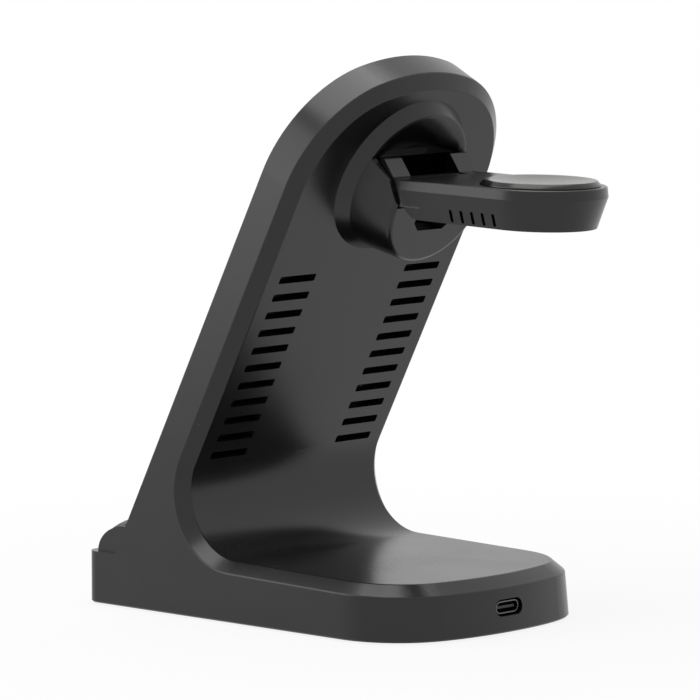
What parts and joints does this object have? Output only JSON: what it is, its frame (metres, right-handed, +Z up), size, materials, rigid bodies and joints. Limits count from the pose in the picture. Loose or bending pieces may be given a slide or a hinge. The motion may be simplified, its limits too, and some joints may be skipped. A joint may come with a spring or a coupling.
{
  "type": "wireless charging stand",
  "caption": "Black charging stand: a leaning upright and base in one moulding, a phone ledge with a lip, a flat earbud place behind, and a folding arm with a dished watch pad on its back.",
  "frame": {"origin": "on the table under the middle of the base, at the centre of the rubber pad's underside", "axes": "+Z up, +Y towards the back where the plug goes in and the watch arm points, X across the width"},
  "size_m": [0.079, 0.1453, 0.1496],
  "materials": {
    "housing_plastic": "black moulded plastic with a fine satin grain",
    "panel_plastic": "black moulded plastic, smooth and matt",
    "arm_plastic": "black moulded plastic with a fine satin grain",
    "pad_plastic": "black polished plastic",
    "rubber": "black silicone rubber, matt",
    "screw_steel": "plated steel",
    "socket_steel": "drawn bright steel",
    "contact_plastic": "black contact carrier",
    "weight_steel": "zinc plated steel plate",
    "coil_copper": "wound enamelled copper",
    "ferrite": "dark grey ferrite sheet",
    "board_green": "green solder mask on glass laminate",
    "component_black": "black epoxy packages",
    "magnet_nickel": "nickel plated magnet",
    "washer_nylon": "natural nylon"
  },
  "bodies": {
    "stand": {"rear_housing": "housing_plastic", "front_panel": "panel_plastic", "phone_coil": "coil_copper", "phone_ferrite": "ferrite", "coil_tray": "panel_plastic", "coil_tray_screws": "screw_steel", "bottom_cover": "housing_plastic", "cover_screws": "screw_steel", "rubber_foot_pad": "rubber", "counterweight": "weight_steel", "main_circuit_board": "board_green", "board_components": "component_black", "circuit_board_screws": "screw_steel", "usb_c_socket": "socket_steel", "usb_c_tongue": "contact_plastic", "earbud_coil": "coil_copper", "earbud_ferrite": "ferrite", "arm_hub": "arm_plastic", "hub_screws": "screw_steel", "hinge_washers": "washer_nylon"},
    "watch_arm": {"arm_body": "arm_plastic", "arm_bottom_cover": "arm_plastic", "arm_cover_screws": "screw_steel", "arm_circuit_board": "board_green", "watch_puck": "pad_plastic", "watch_coil": "coil_copper", "watch_magnet": "magnet_nickel", "watch_ferrite": "ferrite", "hinge_pin": "screw_steel"}
  },
  "joints": [
    {"name": "arm_fold", "type": "hinge", "parent": "stand", "child": "watch_arm", "pos_m": [0, 0.03125, 0.11525], "axis": [1, 0, 0], "range_deg": [0, 60]}
  ]
}
